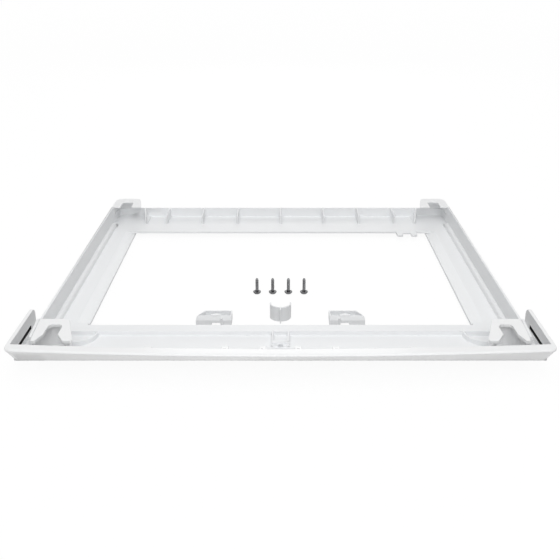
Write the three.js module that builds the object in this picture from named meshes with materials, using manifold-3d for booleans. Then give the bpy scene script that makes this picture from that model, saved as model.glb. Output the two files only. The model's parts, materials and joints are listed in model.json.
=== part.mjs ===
// Stacking kit that ties a tumble dryer to the washing machine under it, in millimetres.
// X runs to the right, Y to the back and Z up. The origin is the middle of the kit's base, on the floor.
// The frame carries a snap-on front trim, two foot holders, two rear hoods and four rubber pads.
// Two lock brackets, a hose clip and four screws stand loose inside the frame's opening.
import * as THREE from "three";
import { mergeVertices } from "three/addons/utils/BufferGeometryUtils.js";
import Module from "manifold-3d";

const wasm = await Module();
wasm.setup();

// Overall size
const overallWidth = 596;
const overallDepth = 580;
const overallHeight = 40;

// Plastic walls, fits and cuts
const wall = 2.5;
const floorThickness = 3;
const ribThickness = 2;
const seatGap = 0.3;
const overrun = 6;

// Base frame in plan
const earReach = 19.5;
const trimReach = 44;
const frontRailDepth = 93;
const frontTrayDepth = 75;
const rearRailDepth = 89;
const rearTrayDepth = 47;
const sideRailWidth = 43.1;
const openingCornerRadius = 9;
const frontCornerRadius = 3;
const rearCornerRadius = 14;
const frontBayWidth = 59.5;
const rearBayFrontWidth = 56.5;
const rearBayRearWidth = 48.5;

// Base frame levels, each measured up from the frame's underside
const padHeight = 2;
const frontWallHeight = 22;
const rearWallHeight = 22;
const ledgeHeight = 9;
const rearFloorHeight = 7;
const stripHeight = 15;
const lipHeight = 5.5;
const frontRise = 9.5;
const frontRiseDepth = 18.5;

// Side rail profile, measured in from the frame's outer side
const stripWidth = 8.5;
const railFloorEnd = 28.5;
const railSlopeEnd = 37.5;
const railEndRamp = 12;
const railRearRun = 16;
const lipStart = 6;

// Ribs above and below the floors
const rearRibShares = [0, 0.2585, 0.4668, 0.6787];
const undersideRibPitch = 57;
const undersideRibInset = 18;

// Centre socket of the front rail
const socketHalfWidth = 10.5;
const socketDepth = 30;
const socketFrontWall = 5.6;
const socketNotchRadius = 3;

// Hook tabs on the rear rail's inner edge, on the right only
const hookShares = [0.6894, 0.7702];
const hookWidth = 9.5;
const hookReach = 18;
const hookWebReach = 5;
const hookCornerRadius = 3.5;

// Tongue beside each front corner, which the trim's ear grips
const tongueGap = 1.6;
const tongueThickness = 2.4;
const tongueFoot = 10;
const tongueHookReach = 4;
const tongueHookLift = 6;

// Screw holes in the rear wall
const rearHolePlace = 100;
const rearHoleRadius = 2.6;
const rearHoleHeight = 15;

// Front trim
const trimBow = 12;
const trimCornerRadius = 9;
const landDepth = 15;
const trimWall = 2.5;
const trimShellDepth = 4;
const fasciaDrop = 27;
const fasciaClearance = 5;
const noseRadius = 2.4;
const earWall = 4.3;
const earLength = 113;
const earTipRadius = 9;
const earFlangeThickness = 2.4;
const hookedRibShares = [0.067, 0.208, 0.497, 0.745];
const plainRibShares = [0.352, 0.638, 0.879];
const snapHookWidth = 8;
const snapHookReach = 5;
const snapHookThickness = 2;
const snapHookDrop = 4;

// Foot holders at the front corners
const holderPlate = 4;
const holderLength = 57.7;
const holderReach = 46;
const holderRearWidth = 35.5;
const holderFrontWidth = 51.5;
const holderCornerRadius = 9;
const footSlotInset = 21.5;
const footSlotHalfWidth = 8;
const footSlotEndRadius = 7.8;
const footSlotRearWall = 15;
const footSlotFlareDepth = 13;
const footSlotFlareOuter = 7;
const footSlotFlareInner = 9;
const footPocketRadius = 16.7;
const pocketWall = 2;
const pocketFloorThickness = 2.5;

// Rear hoods
const hoodPlate = 3;
const hoodWidth = 48.5;
const hoodSlotInset = 22.5;
const hoodSlotHalfWidth = 9;
const hoodSlotDepth = 29;

// Rubber pads under the corners
const padLength = 38;
const padWidth = 22;
const padCornerRadius = 5;
const padInset = 6;
const padSetBack = 2;

// Lock brackets
const bracketPlace = 83.6;
const bracketStandOff = 23;
const bracketWidth = 45;
const bracketDepth = 20;
const bracketHeight = 11;
const bracketSkew = 10;
const bracketWall = 2;
const bracketLean = 2.5;
const bracketLeanHeight = 6;
const bracketBossSides = 6;
const bracketBossRadius = 7.5;
const bracketBossHeight = 12;
const bracketBossShift = 3;
const bracketBossInset = 2;
const bracketPilotRadius = 1.9;
const bracketPilotHeight = 9;
const bracketNotchWidth = 10.9;
const bracketNotchHeight = 2.6;
const bracketBarWidth = 2.7;
const bracketBarReach = 1.5;

// Hose clip
const clipStandOff = 32.7;
const clipOuterRadius = 13.5;
const clipWall = 2;
const clipLegLength = 3;
const clipHeight = 19.5;
const clipFinReach = 6.4;
const clipFinThickness = 1.6;

// Screws
const screwPlaces = [-32, -10.7, 10.7, 32];
const screwStandOff = 124.2;
const screwLength = 22;
const screwHeadRadius = 5.35;
const screwHeadHeight = 3.2;
const screwHeadEdge = 1.2;
const screwFaceRadius = 3.75;
const screwShankRadius = 2.3;
const screwTipLength = 3;
const screwTipRadius = 1.1;
const screwCrossWidth = 1.3;
const screwCrossLength = 5.2;
const screwCrossDepth = 1.8;

// Fineness of the round stretches
const arcSteps = 10;
const screwSides = 20;
const bowSteps = 16;
const cornerSteps = 5;
const mergeDistanceShare = 1e-7;

// Planes that several pieces share
const trimHalfWidth = overallWidth / 2;
const frameHalfWidth = trimHalfWidth - earReach;
const openingHalfWidth = frameHalfWidth - sideRailWidth;
const frontBayInner = frameHalfWidth - frontBayWidth;
const footSlotCentre = frameHalfWidth - footSlotInset;
const fasciaBottomInset = trimReach - fasciaClearance;
const frontY = -overallDepth / 2;
const rearY = overallDepth / 2;
const frameFrontY = frontY + trimReach;
const frontLedgeY = frameFrontY + frontTrayDepth;
const openingFrontY = frameFrontY + frontRailDepth;
const openingRearY = rearY - rearRailDepth;
const rearTrayY = rearY - rearTrayDepth;
const underside = padHeight;
const topZ = overallHeight;
const ledgeZ = underside + ledgeHeight;
const frontFloorZ = underside + floorThickness;
const rearFloorZ = underside + rearFloorHeight;
const frontWallZ = underside + frontWallHeight;
const rearWallZ = underside + rearWallHeight;
const fasciaBottomZ = topZ - fasciaDrop;
const landUndersideZ = topZ - trimWall;
const holderRearY = frameFrontY + holderReach;
const holderFrontY = holderRearY - holderLength;
const footCentreY = holderRearY - footSlotRearWall - footSlotHalfWidth;

// Closed meshes become solids once their shared corners are merged.
function solidOf(geometry) {
  geometry.deleteAttribute("normal");
  geometry.deleteAttribute("uv");
  const merged = mergeVertices(geometry, overallWidth * mergeDistanceShare);
  const mesh = new wasm.Mesh({
    numProp: 3,
    vertProperties: merged.attributes.position.array,
    triVerts: new Uint32Array(merged.index.array),
  });
  return new wasm.Manifold(mesh);
}

function join(...solids) {
  return solids.flat().reduce((sum, solid) => sum.add(solid));
}

function cut(solid, ...tools) {
  return tools.flat().reduce((rest, tool) => rest.subtract(tool), solid);
}

// A block between two values on each axis, given in either order.
function box(x0, x1, y0, y1, z0, z1) {
  const geometry = new THREE.BoxGeometry(Math.abs(x1 - x0), Math.abs(y1 - y0), Math.abs(z1 - z0));
  geometry.translate((x0 + x1) / 2, (y0 + y1) / 2, (z0 + z1) / 2);
  return solidOf(geometry);
}

function extrusion(shape, length) {
  return new THREE.ExtrudeGeometry(shape, { depth: length, bevelEnabled: false, curveSegments: arcSteps });
}

// A plan outline raised from z0 to z1.
function prism(shape, z0, z1) {
  return solidOf(extrusion(shape, z1 - z0).translate(0, 0, z0));
}

// An outline in X and Z run along Y.
function alongY(shape, y0, y1) {
  return solidOf(extrusion(shape, y1 - y0).rotateX(Math.PI / 2).translate(0, y1, 0));
}

// An outline in Y and Z run along X.
function alongX(shape, x0, x1) {
  const turn = new THREE.Matrix4().set(0, 0, 1, 0, 1, 0, 0, 0, 0, 1, 0, 0, 0, 0, 0, 1);
  return solidOf(extrusion(shape, x1 - x0).applyMatrix4(turn).translate(x0, 0, 0));
}

function outline(points) {
  return new THREE.Shape(points.map(([a, b]) => new THREE.Vector2(a, b)));
}

// An outline whose corners are rounded: each corner is [a, b, radius].
function roundedOutline(corners) {
  const shape = new THREE.Shape();
  corners.forEach(([a, b, radius], i) => {
    const here = new THREE.Vector2(a, b);
    const before = new THREE.Vector2(...corners.at(i - 1));
    const after = new THREE.Vector2(...corners[(i + 1) % corners.length]);
    const inward = before.sub(here).normalize();
    const outward = after.sub(here).normalize();
    const halfTurn = Math.acos(THREE.MathUtils.clamp(inward.dot(outward), -1, 1)) / 2;
    const setBack = radius / Math.tan(halfTurn);
    const start = inward.clone().multiplyScalar(setBack).add(here);
    const end = outward.clone().multiplyScalar(setBack).add(here);
    if (i === 0) shape.moveTo(start.x, start.y);
    else shape.lineTo(start.x, start.y);
    if (radius > 0) shape.quadraticCurveTo(here.x, here.y, end.x, end.y);
  });
  shape.closePath();
  return shape;
}

function rectangle(x0, x1, y0, y1) {
  return outline([[x0, y0], [x1, y0], [x1, y1], [x0, y1]]);
}

// A skin over a row of convex rings with as many points each, closed by a fan at both ends.
function loft(rings) {
  const count = rings[0].length;
  const faces = [];
  for (let ring = 0; ring + 1 < rings.length; ring++) {
    for (let i = 0; i < count; i++) {
      const a = ring * count + i;
      const b = ring * count + ((i + 1) % count);
      faces.push(a, b + count, b, a, a + count, b + count);
    }
  }
  const last = (rings.length - 1) * count;
  for (let i = 1; i + 1 < count; i++) {
    faces.push(0, i, i + 1);
    faces.push(last, last + i + 1, last + i);
  }
  const geometry = new THREE.BufferGeometry();
  geometry.setAttribute("position", new THREE.Float32BufferAttribute(rings.flat(2), 3));
  geometry.setIndex(faces);
  return solidOf(geometry);
}

const plasticMaterial = (color) => new THREE.MeshStandardMaterial({ color, roughness: 0.5, metalness: 0 });
const white = () => plasticMaterial(0xeceeef);
const rubber = () => new THREE.MeshStandardMaterial({ color: 0x4a4c4e, roughness: 0.9, metalness: 0 });
const steel = () => new THREE.MeshStandardMaterial({ color: 0x5b5c5e, roughness: 0.35, metalness: 1 });

const kit = new THREE.Group();

function addPiece(name, solid, material, place = [0, 0, 0]) {
  const found = solid.getMesh();
  const geometry = new THREE.BufferGeometry();
  geometry.setAttribute("position", new THREE.BufferAttribute(found.vertProperties, 3));
  geometry.setIndex(new THREE.BufferAttribute(found.triVerts, 1));
  const mesh = new THREE.Mesh(geometry, material);
  mesh.name = name;
  mesh.position.set(...place);
  kit.add(mesh);
}

const sides = { left: -1, right: 1 };

// The frame's outer edge in plan, moved in by an offset.
function frameOutline(offset) {
  const half = frameHalfWidth - offset;
  const front = Math.max(frontCornerRadius - offset, 0);
  const rear = rearCornerRadius - offset;
  return roundedOutline([
    [-half, frameFrontY + offset, front],
    [half, frameFrontY + offset, front],
    [half, rearY - offset, rear],
    [-half, rearY - offset, rear],
  ]);
}

// The upright wall round the frame: low at the front, at the back and under the hoods.
function frameRim() {
  const outer = prism(frameOutline(0), underside, topZ);
  const inner = prism(frameOutline(wall), underside - overrun, topZ + overrun);
  const far = frameHalfWidth + overrun;
  const aboveFront = box(
    -frameHalfWidth + wall, frameHalfWidth - wall,
    frameFrontY - overrun, frameFrontY + wall + overrun,
    frontWallZ, topZ + overrun,
  );
  const underHolders = box(
    -far, far,
    frameFrontY - overrun, holderRearY + seatGap,
    topZ - holderPlate - seatGap, topZ + overrun,
  );
  const underHoods = box(-far, far, rearTrayY - seatGap, rearY + overrun, rearWallZ, topZ + overrun);
  return cut(outer, inner, aboveFront, underHolders, underHoods);
}

// One side rail's section: strip, floor, slope and lip, as a shell of even thickness.
function sideRailProfile(side) {
  const inFrom = (distance) => side * (frameHalfWidth - distance);
  const stripZ = underside + stripHeight;
  const lipZ = underside + lipHeight;
  const points = [
    [inFrom(wall / 2), stripZ],
    [inFrom(stripWidth), stripZ],
    [inFrom(stripWidth), ledgeZ],
    [inFrom(railFloorEnd), ledgeZ],
    [inFrom(railSlopeEnd), lipZ],
    [side * openingHalfWidth, lipZ],
    [side * openingHalfWidth, lipZ - floorThickness],
    [inFrom(railSlopeEnd), lipZ - floorThickness],
    [inFrom(railFloorEnd), ledgeZ - floorThickness],
    [inFrom(stripWidth - wall), ledgeZ - floorThickness],
    [inFrom(stripWidth - wall), stripZ - floorThickness],
    [inFrom(wall / 2), stripZ - floorThickness],
  ];
  return outline(points);
}

// The strip runs down to the corner floor at the rail's rear end.
function stripRamp(side) {
  const inner = side * (frameHalfWidth - stripWidth - wall / 2);
  const outer = side * (frameHalfWidth - wall / 2);
  const stripZ = underside + stripHeight;
  const start = rearTrayY - railRearRun;
  const section = outline([
    [start - wall, ledgeZ - floorThickness],
    [start - wall, stripZ],
    [start, stripZ],
    [start + railEndRamp, ledgeZ],
    [start + railEndRamp, ledgeZ - floorThickness],
  ]);
  return alongX(section, Math.min(inner, outer), Math.max(inner, outer));
}

function sideRail(side) {
  const start = rearTrayY - railRearRun;
  const rail = alongY(sideRailProfile(side), frontLedgeY, start);
  const outer = side * (frameHalfWidth - wall / 2);
  const slopeTop = side * (frameHalfWidth - railFloorEnd);
  const bayInner = side * (frameHalfWidth - rearBayFrontWidth);
  const plateBottom = ledgeZ - floorThickness;
  const floorAtRear = box(bayInner, outer, openingRearY, rearY - wall / 2, plateBottom, ledgeZ);
  const patchRear = openingFrontY + lipStart;
  const frontPatch = box(side * openingHalfWidth, slopeTop, frontLedgeY, patchRear, plateBottom, ledgeZ);
  return join(rail, floorAtRear, frontPatch, stripRamp(side));
}

// The front floor's section: it rises in front, so that it stays above the trim's lower edge in a front view.
function frontFloorProfile() {
  const riseRearY = frameFrontY + frontRiseDepth;
  const stepRearY = frontLedgeY + wall;
  return outline([
    [frameFrontY, underside + frontRise],
    [riseRearY, underside],
    [stepRearY, underside],
    [stepRearY, frontFloorZ],
    [riseRearY, frontFloorZ],
    [frameFrontY, frontFloorZ + frontRise],
  ]);
}

// Everything in front of and under the front floor's rise, moved up by a lift.
function underRise(lift) {
  const section = outline([
    [frameFrontY, underside + frontRise + lift],
    [frameFrontY - overrun, underside + frontRise + lift],
    [frameFrontY - overrun, underside - overrun],
    [frameFrontY + frontRiseDepth, underside - overrun],
    [frameFrontY + frontRiseDepth, underside + lift],
  ]);
  return alongX(section, -trimHalfWidth, trimHalfWidth);
}

// Front rail: tray floor, the step up to the ledge, and a rib across the tray near each corner.
function frontRail() {
  const plateBottom = ledgeZ - floorThickness;
  const outer = frameHalfWidth - wall / 2;
  const stepRearY = frontLedgeY + wall;
  const floor = alongX(frontFloorProfile(), -outer, outer);
  const ledge = box(-outer, outer, frontLedgeY, openingFrontY, plateBottom, ledgeZ);
  const trayStep = box(-outer, outer, frontLedgeY, stepRearY, underside, ledgeZ);
  const ribs = Object.values(sides).map((side) => {
    const inner = side * frontBayInner;
    return box(inner, inner + side * ribThickness, frameFrontY + wall / 2, stepRearY, underside, ledgeZ);
  });
  return join(floor, ledge, trayStep, ribs);
}

function centreSocket() {
  const rearFace = frontLedgeY + wall / 2;
  const frontFace = frontLedgeY - socketDepth;
  const block = box(-socketHalfWidth, socketHalfWidth, frontFace, rearFace, underside, ledgeZ);
  const inside = box(
    -socketHalfWidth + ribThickness, socketHalfWidth - ribThickness,
    frontFace + socketFrontWall, frontLedgeY,
    frontFloorZ, ledgeZ + overrun,
  );
  const notch = new THREE.Shape();
  notch.absarc(0, frontFloorZ, socketNotchRadius, 0, Math.PI, false);
  notch.closePath();
  return cut(block, inside, alongY(notch, frontFace - overrun, frontFace + socketFrontWall / 2));
}

// Rear rail: ledge, tray floor, cross ribs and the slanted walls of the corner bays.
function rearRail() {
  const ledgeBottom = ledgeZ - floorThickness;
  const trayBottom = rearFloorZ - floorThickness;
  const inside = frameHalfWidth - wall;
  const bayFront = frameHalfWidth - rearBayFrontWidth;
  const bayRear = frameHalfWidth - rearBayRearWidth;
  const stepFrontY = rearTrayY - wall;
  const ribFrontY = rearTrayY - ribThickness;
  const wallMiddleY = rearY - wall / 2;
  const ledge = box(-inside, inside, openingRearY, rearTrayY, ledgeBottom, ledgeZ);
  const trayStep = box(-bayFront, bayFront, stepFrontY, rearTrayY, trayBottom, ledgeZ);
  const floor = box(-bayRear, bayRear, stepFrontY, wallMiddleY, trayBottom, rearFloorZ);
  const places = [...new Set(rearRibShares.flatMap((share) => [-share * frameHalfWidth, share * frameHalfWidth]))];
  const half = ribThickness / 2;
  const ribs = places.map((x) =>
    box(x - half, x + half, ribFrontY, wallMiddleY, rearFloorZ - ribThickness, rearWallZ),
  );
  const bayWalls = Object.values(sides).map((side) => {
    const shape = outline([
      [side * bayFront, ribFrontY],
      [side * (bayFront + wall), ribFrontY],
      [side * (bayRear + wall), wallMiddleY],
      [side * bayRear, wallMiddleY],
    ]);
    return prism(shape, ledgeBottom, rearWallZ);
  });
  return join(ledge, trayStep, floor, ribs, bayWalls);
}

// Ribs that carry the ledges and the rail floors on the machine below.
function undersideRibs() {
  const ribTop = ledgeZ - ribThickness;
  const crossTop = rearFloorZ - ribThickness;
  const longRibX = frameHalfWidth - railFloorEnd + ribThickness;
  const rearRibY = openingRearY + undersideRibInset;
  const rimMiddle = frameHalfWidth - wall / 2;
  const half = ribThickness / 2;
  const ribs = [box(-rimMiddle, rimMiddle, rearRibY, rearRibY + ribThickness, underside, ribTop)];
  for (const side of Object.values(sides)) {
    const inner = side * longRibX;
    ribs.push(box(inner, inner + side * ribThickness, frontLedgeY + wall / 2, rearRibY, underside, ribTop));
    for (let y = openingFrontY; y < openingRearY; y += undersideRibPitch) {
      ribs.push(box(inner, side * rimMiddle, y, y + ribThickness, underside, ribTop));
    }
  }
  const lastRib = Math.floor((frameHalfWidth - rearBayFrontWidth) / undersideRibPitch);
  for (let i = -lastRib; i <= lastRib; i++) {
    const x = i * undersideRibPitch;
    ribs.push(box(x - half, x + half, rearRibY, rearY - wall / 2, underside, crossTop));
  }
  return ribs;
}

// A flat foot under each rear corner's higher floor for the rubber pad.
function rearPadSeats() {
  const plateMiddle = ledgeZ - floorThickness / 2;
  const halfLength = padLength / 2;
  const halfWidth = padWidth / 2;
  const rearPlaces = padPlaces().filter(([, y]) => y > 0);
  return rearPlaces.map(([x, y]) =>
    box(x - halfLength, x + halfLength, y - halfWidth, y + halfWidth, underside, plateMiddle),
  );
}

function padPlaces() {
  const x = frameHalfWidth - padInset - padLength / 2;
  const front = frameFrontY + frontRiseDepth + padSetBack + padWidth / 2;
  const rear = rearY - padInset - padWidth / 2;
  return [[-x, front], [x, front], [-x, rear], [x, rear]];
}

// Two hooks and the short web between them stand into the opening from the rear ledge.
function hookTabs() {
  const plateBottom = ledgeZ - floorThickness;
  const rear = openingRearY + wall;
  const places = hookShares.map((share) => share * frameHalfWidth);
  const tabs = places.map((x) => {
    const shape = roundedOutline([
      [x - hookWidth / 2, rear, 0],
      [x - hookWidth / 2, openingRearY - hookReach, hookCornerRadius],
      [x + hookWidth / 2, openingRearY - hookReach, hookCornerRadius],
      [x + hookWidth / 2, rear, 0],
    ]);
    return prism(shape, plateBottom, ledgeZ);
  });
  const web = box(...places, openingRearY - hookWebReach, rear, plateBottom, ledgeZ);
  return join(tabs, web);
}

// An upright tongue outside the frame's corner, with a short turned-in end at the front.
function earTongue(side) {
  const inner = frameHalfWidth + tongueGap;
  const outer = inner + tongueThickness;
  const blade = box(side * inner, side * outer, frameFrontY, holderRearY, fasciaBottomZ, topZ);
  const foot = box(
    side * (frameHalfWidth - wall / 2), side * outer,
    frameFrontY + tongueFoot, holderRearY,
    fasciaBottomZ, fasciaBottomZ + tongueThickness,
  );
  const rearWeb = box(
    side * (frameHalfWidth - wall / 2), side * outer,
    holderRearY - tongueThickness, holderRearY,
    fasciaBottomZ, topZ - holderPlate - seatGap,
  );
  const turnedEnd = box(
    side * (outer - tongueHookReach), side * outer,
    frameFrontY - tongueThickness, frameFrontY,
    fasciaBottomZ + tongueHookLift, topZ - holderPlate - seatGap,
  );
  return join(blade, foot, rearWeb, turnedEnd);
}

function rearScrewHoles() {
  return Object.values(sides).map((side) => {
    const hole = new THREE.CylinderGeometry(rearHoleRadius, rearHoleRadius, wall + overrun * 2, arcSteps * 2);
    hole.translate(side * rearHolePlace, rearY, underside + rearHoleHeight);
    return solidOf(hole);
  });
}

function baseFrame() {
  const opening = roundedOutline([
    [-openingHalfWidth, openingFrontY, 0],
    [openingHalfWidth, openingFrontY, 0],
    [openingHalfWidth, openingRearY, openingCornerRadius],
    [-openingHalfWidth, openingRearY, openingCornerRadius],
  ]);
  const shell = join(
    frameRim(),
    frontRail(),
    rearRail(),
    undersideRibs(),
    rearPadSeats(),
    Object.values(sides).map(sideRail),
  );
  const inside = shell.intersect(prism(frameOutline(0), underside, topZ));
  const opened = cut(inside, prism(opening, underside - overrun, topZ + overrun));
  const fitted = join(opened, centreSocket(), hookTabs(), Object.values(sides).map(earTongue));
  return cut(fitted, rearScrewHoles(), underRise(0));
}

// How far the trim's front stands forward of its ends, and how far its rounded corners draw back.
const bowAt = (x) => trimBow * (1 - (x / trimHalfWidth) ** 2);

function cornerInset(x, half, radius) {
  const past = Math.abs(x) - (half - radius);
  return past > 0 ? radius - Math.sqrt(Math.max(radius ** 2 - past ** 2, 0)) : 0;
}

function trimStations(half, radius) {
  const straight = half - radius;
  const stations = [];
  for (let i = 0; i <= bowSteps; i++) stations.push(-straight + (2 * straight * i) / bowSteps);
  for (let i = 1; i <= cornerSteps; i++) {
    const out = straight + radius * Math.sin((i / cornerSteps) * (Math.PI / 2));
    stations.unshift(-out);
    stations.push(out);
  }
  return stations;
}

// The trim as a full block: slanted front, rounded nose, and ears' outer sides.
function trimBlock() {
  const back = frontY + trimBow + earLength;
  const rings = trimStations(trimHalfWidth, trimCornerRadius).map((x) => {
    const inset = cornerInset(x, trimHalfWidth, trimCornerRadius);
    const top = frontY + trimBow - bowAt(x) + inset;
    const bottom = frontY + fasciaBottomInset + inset;
    return [
      [x, back, topZ],
      [x, back, fasciaBottomZ],
      [x, bottom, fasciaBottomZ],
      [x, top, topZ - noseRadius],
      [x, top + noseRadius / 3, topZ - noseRadius / 3],
      [x, top + noseRadius, topZ],
    ];
  });
  return loft(rings);
}

// The room behind the slanted panel and under the land.
function trimRoom() {
  const half = trimHalfWidth - earWall;
  const radius = trimCornerRadius - earWall;
  const back = rearY;
  const rings = trimStations(half, radius).map((x) => {
    const inset = cornerInset(x, half, radius);
    const top = frontY + trimBow - bowAt(x) + trimShellDepth + inset;
    const bottom = frontY + fasciaBottomInset + trimShellDepth + inset;
    const slope = (bottom - top) / (fasciaDrop - noseRadius);
    const under = overrun;
    return [
      [x, back, landUndersideZ],
      [x, back, fasciaBottomZ - under],
      [x, bottom + slope * under, fasciaBottomZ - under],
      [x, top + slope * (trimWall - noseRadius), landUndersideZ],
    ];
  });
  return loft(rings);
}

const landRearY = (x) => frontY + trimBow - bowAt(x) + landDepth;

// Everything between the ears and behind the land, as deep as the land is thick.
function behindLand() {
  const half = trimHalfWidth - earWall;
  const edge = trimStations(half, 0).map((x) => [x, landRearY(x)]);
  const shape = outline([...edge, [half, rearY], [-half, rearY]]);
  return prism(shape, landUndersideZ - seatGap, topZ + overrun);
}

// A gusset under the land, which stops just in front of the frame's front wall.
function trimGusset(x, hooked) {
  const stop = frameFrontY - seatGap;
  const hookTop = frontWallZ + seatGap + snapHookThickness;
  const section = outline([
    [frontY, landUndersideZ + trimWall / 2],
    [landRearY(x) - trimWall / 2, landUndersideZ + trimWall / 2],
    [landRearY(x) - trimWall / 2, landUndersideZ],
    [stop, hookTop],
    [stop, fasciaBottomZ + trimWall],
    [frontY, fasciaBottomZ + trimWall],
  ]);
  const plate = alongX(section, x - ribThickness / 2, x + ribThickness / 2);
  if (!hooked) return plate;
  const hookBottom = frontWallZ + seatGap;
  const past = frameFrontY + wall + seatGap;
  const arm = box(
    x - snapHookWidth / 2, x + snapHookWidth / 2, stop - snapHookReach, past + snapHookThickness, hookBottom, hookTop,
  );
  const barb = box(
    x - snapHookWidth / 2, x + snapHookWidth / 2, past, past + snapHookThickness, hookTop - snapHookDrop, hookTop,
  );
  return join(plate, arm, barb);
}

function trimGussets() {
  return Object.values(sides).flatMap((side) => [
    ...hookedRibShares.map((share) => trimGusset(side * share * trimHalfWidth, true)),
    ...plainRibShares.map((share) => trimGusset(side * share * trimHalfWidth, false)),
  ]);
}

// The rounded upper corner at an ear's rear end, as the piece to cut away.
function earTipCutter() {
  const back = frontY + trimBow + earLength;
  const shape = new THREE.Shape();
  shape.moveTo(back - earTipRadius, topZ);
  shape.absarc(back - earTipRadius, topZ - earTipRadius, earTipRadius, Math.PI / 2, 0, true);
  shape.lineTo(back + overrun, topZ - earTipRadius);
  shape.lineTo(back + overrun, topZ + overrun);
  shape.lineTo(back - earTipRadius, topZ + overrun);
  shape.closePath();
  return alongX(shape, -trimHalfWidth - overrun, trimHalfWidth + overrun);
}

// A ledge along the inside of an ear, whose edge runs beside the frame's tongue.
function earFlange(side) {
  const tongueOuter = frameHalfWidth + tongueGap + tongueThickness;
  return box(
    side * (tongueOuter + seatGap), side * (trimHalfWidth - earWall / 2),
    frontY + fasciaBottomInset, holderRearY,
    fasciaBottomZ, fasciaBottomZ + earFlangeThickness,
  );
}

function frontTrim() {
  const block = trimBlock();
  const shell = cut(block, trimRoom(), behindLand());
  const gussets = block.intersect(join(trimGussets()));
  const joined = join(shell, gussets, Object.values(sides).map(earFlange));
  return cut(joined, earTipCutter());
}

// A foot holder: a plate with a flared U slot over a cup for the foot's disc.
function footHolder(side) {
  const at = (distance) => side * (frameHalfWidth - distance);
  const slotInner = footSlotInset + footSlotHalfWidth;
  const slotOuter = footSlotInset - footSlotHalfWidth;
  const slotEndY = footCentreY + footSlotHalfWidth;
  const flareY = holderFrontY + footSlotFlareDepth;
  const plate = roundedOutline([
    [at(0), holderFrontY, 0],
    [at(0), holderRearY, holderCornerRadius / 2],
    [at(holderRearWidth), holderRearY, holderCornerRadius],
    [at(holderFrontWidth), holderFrontY, holderCornerRadius / 3],
    [at(slotInner + footSlotFlareInner), holderFrontY, holderCornerRadius / 2],
    [at(slotInner), flareY, holderCornerRadius / 2],
    [at(slotInner), slotEndY, footSlotEndRadius],
    [at(slotOuter), slotEndY, footSlotEndRadius],
    [at(slotOuter), flareY, holderCornerRadius / 2],
    [at(slotOuter - footSlotFlareOuter), holderFrontY, 0],
  ]);
  const top = prism(plate, topZ - holderPlate, topZ);
  return cut(join(top, footCup(side)), underRise(floorThickness + seatGap));
}

// The cup under a holder's plate: a U-shaped wall, open to the front, round a floor at the rear feet's level.
function footCup(side) {
  const frontFace = frameFrontY + wall + seatGap;
  const bottom = frontFloorZ + seatGap;
  const x = side * footSlotCentre;
  const plateMiddle = topZ - holderPlate / 2;
  const cupOutline = (radius, face) => {
    const shape = new THREE.Shape();
    shape.moveTo(x - radius, face);
    shape.lineTo(x + radius, face);
    shape.lineTo(x + radius, footCentreY);
    shape.absarc(x, footCentreY, radius, 0, Math.PI, false);
    shape.closePath();
    return shape;
  };
  const outer = prism(cupOutline(footPocketRadius + pocketWall, frontFace), bottom, plateMiddle);
  const inner = prism(cupOutline(footPocketRadius, frontFace - overrun), ledgeZ, topZ);
  const under = prism(
    cupOutline(footPocketRadius, frontFace - overrun),
    bottom - overrun, ledgeZ - pocketFloorThickness,
  );
  const armRib = box(
    side * (frameHalfWidth - holderFrontWidth + holderCornerRadius), x - side * (footPocketRadius + pocketWall / 2),
    frontFace, frontFace + ribThickness,
    bottom, plateMiddle,
  );
  return join(cut(outer, inner, under), armRib);
}

// A rear hood: a plate with a notch, on a skirt that stands on the frame's low rear corner.
function rearHood(side) {
  const at = (distance) => side * (frameHalfWidth - distance);
  const bottom = rearWallZ + seatGap;
  const plateBottom = topZ - hoodPlate;
  const corner = (offset) =>
    roundedOutline([
      [at(hoodWidth - offset), rearTrayY, 0],
      [at(offset), rearTrayY, 0],
      [at(offset), rearY - offset, rearCornerRadius - offset],
      [at(hoodWidth - offset), rearY - offset, rearCornerRadius / 2],
    ]);
  const front = box(
    at(hoodWidth - wall), at(wall),
    rearTrayY - overrun, rearTrayY + overrun,
    bottom - overrun, plateBottom,
  );
  const skirt = cut(prism(corner(0), bottom, topZ), prism(corner(wall), bottom - overrun, plateBottom), front);
  const notch = new THREE.Shape();
  const x = at(hoodSlotInset);
  const arcY = rearTrayY + hoodSlotDepth - hoodSlotHalfWidth;
  notch.moveTo(x - hoodSlotHalfWidth, rearTrayY - overrun);
  notch.lineTo(x + hoodSlotHalfWidth, rearTrayY - overrun);
  notch.lineTo(x + hoodSlotHalfWidth, arcY);
  notch.absarc(x, arcY, hoodSlotHalfWidth, 0, Math.PI, false);
  notch.closePath();
  return cut(skirt, prism(notch, plateBottom - overrun, topZ + overrun));
}

function gripPad() {
  const shape = roundedOutline([
    [-padLength / 2, -padWidth / 2, padCornerRadius],
    [padLength / 2, -padWidth / 2, padCornerRadius],
    [padLength / 2, padWidth / 2, padCornerRadius],
    [-padLength / 2, padWidth / 2, padCornerRadius],
  ]);
  return prism(shape, 0, underside - seatGap);
}

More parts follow.
